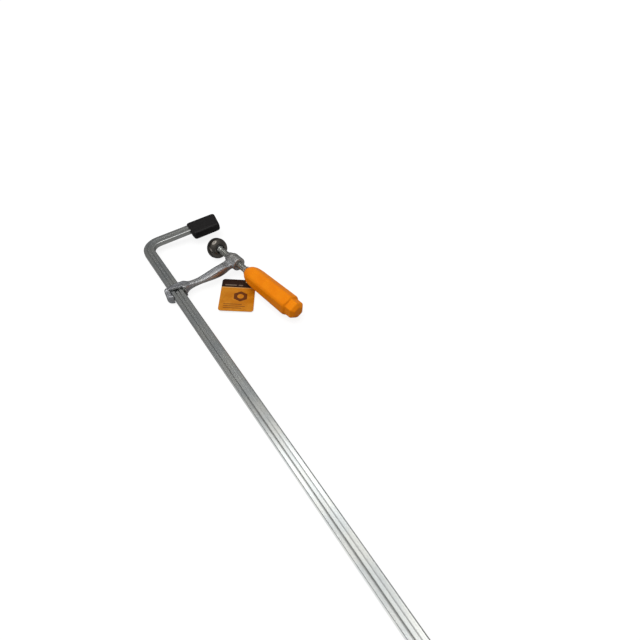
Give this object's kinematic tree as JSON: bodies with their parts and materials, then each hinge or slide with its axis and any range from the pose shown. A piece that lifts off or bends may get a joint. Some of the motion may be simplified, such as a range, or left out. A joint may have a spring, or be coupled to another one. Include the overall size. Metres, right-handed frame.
{
  "type": "quick release bar clamp",
  "caption": "Long bar clamp: grooved steel rail bent into a fixed jaw with a soft cap, tilting sliding arm, screw with swivel pressure plate, hexagonal grip and card tag.",
  "frame": {"origin": "on the fixed jaw's pressing face, on the mid-plane of the clamp, where the screw's axis meets it when the clamp is tightened", "axes": "+Y along the rail towards the fixed jaw, +X from the rail towards the jaws' tips, +Z out of the clamp's wide side as it lies"},
  "size_m": [0.1957, 0.9231, 0.047],
  "materials": {
    "rail_steel": "satin",
    "forged_steel": "satin",
    "screw_steel": "polished",
    "dark_steel": "polished",
    "cap_plastic": "matte",
    "ring_plastic": "satin",
    "grip_plastic": "satin",
    "tag_card": "gloss",
    "tag_nylon": "satin",
    "eyelet_brass": "polished"
  },
  "bodies": {
    "rail": {"rail": "rail_steel", "rail_stop_pin": "screw_steel", "jaw_cap": "cap_plastic"},
    "lock_pin": {"lock_pin": "screw_steel"},
    "sliding_arm": {"sliding_arm": "forged_steel"},
    "screw_carriage": {"pad_snap_ring": "ring_plastic"},
    "spindle": {"spindle": "screw_steel", "handle_grip": "grip_plastic"},
    "pressure_plate": {"pressure_plate": "dark_steel"},
    "tag": {"tag_card": "tag_card", "tag_eyelet": "eyelet_brass", "tag_loop": "tag_nylon"}
  },
  "joints": [
    {"name": "arm_slide", "type": "slide", "parent": "rail", "child": "lock_pin", "axis": [0, 1, 0], "range_m": [-0.7338, 0.021]},
    {"name": "arm_tilt", "type": "hinge", "parent": "lock_pin", "child": "sliding_arm", "pos_m": [-0.1173, -0.136, 0], "axis": [0, 0, 1], "range_deg": [-8.5, 0]},
    {"name": "spindle_feed", "type": "slide", "parent": "sliding_arm", "child": "screw_carriage", "axis": [-0.1478, 0.989, 0], "range_m": [-0.022, 0.017]},
    {"name": "spindle_spin", "type": "hinge", "parent": "screw_carriage", "child": "spindle", "pos_m": [-0.00962, -0.06288, 0], "axis": [-0.1478, 0.989, 0], "range_deg": [-1979, 1529]},
    {"name": "plate_tilt", "type": "hinge", "parent": "screw_carriage", "child": "pressure_plate", "pos_m": [-0.00962, -0.06288, 0], "axis": [0.989, 0.1478, 0], "range_deg": [0, 50]},
    {"name": "tag_swing", "type": "hinge", "parent": "screw_carriage", "child": "tag", "pos_m": [0.0043, -0.15605, 0], "axis": [-0.1478, 0.989, 0], "range_deg": [-65, 0]}
  ],
  "couplings": [
    {"joint": "spindle_feed", "follows": "spindle_spin", "m_per_rad": 0.00063662}
  ]
}
